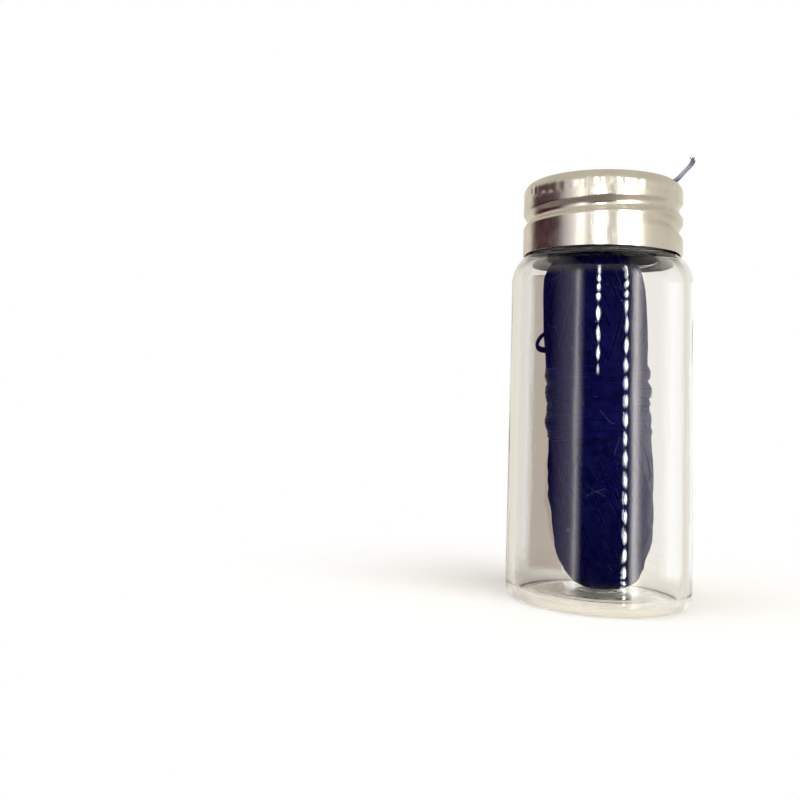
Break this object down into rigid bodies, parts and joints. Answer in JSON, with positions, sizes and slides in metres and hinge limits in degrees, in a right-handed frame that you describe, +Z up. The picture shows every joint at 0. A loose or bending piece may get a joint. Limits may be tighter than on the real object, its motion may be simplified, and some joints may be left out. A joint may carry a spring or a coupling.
{
  "type": "dental floss dispenser",
  "caption": "Clear glass vial with a threaded neck, a brushed steel screw cap with a floss outlet and a lanced cutter, and a black wound floss refill inside.",
  "frame": {"origin": "middle of the base, on the plane that the vial stands on, measured without the floss strand", "axes": "+Z up along the axis of the vial and cap, which is also its longest extent; +X towards the side where the floss end stands up"},
  "size_m": [0.0269, 0.026, 0.0654],
  "materials": {
    "glass": "clear polished glass",
    "steel": "satin drawn stainless steel",
    "liner": "white polyethylene foam",
    "floss": "waxed black thread with a blue cast"
  },
  "bodies": {
    "vial": {"glass_vial": "glass", "floss_bobbin": "floss", "floss_waist_wrap": "floss", "floss_loop": "floss"},
    "liner": {"seal_liner": "liner"},
    "cap": {"cap_shell": "steel", "floss_strand": "floss"}
  },
  "joints": [
    {"name": "cap_rise", "type": "slide", "parent": "vial", "child": "liner", "axis": [0, 0, 1], "range_m": [0, 0.0143]},
    {"name": "cap_turn", "type": "hinge", "parent": "liner", "child": "cap", "pos_m": [0, 0, 0.055], "axis": [0, 0, 1], "range_deg": [0, 1620]}
  ],
  "couplings": [
    {"joint": "cap_rise", "follows": "cap_turn", "m_per_rad": 0.00050532}
  ]
}
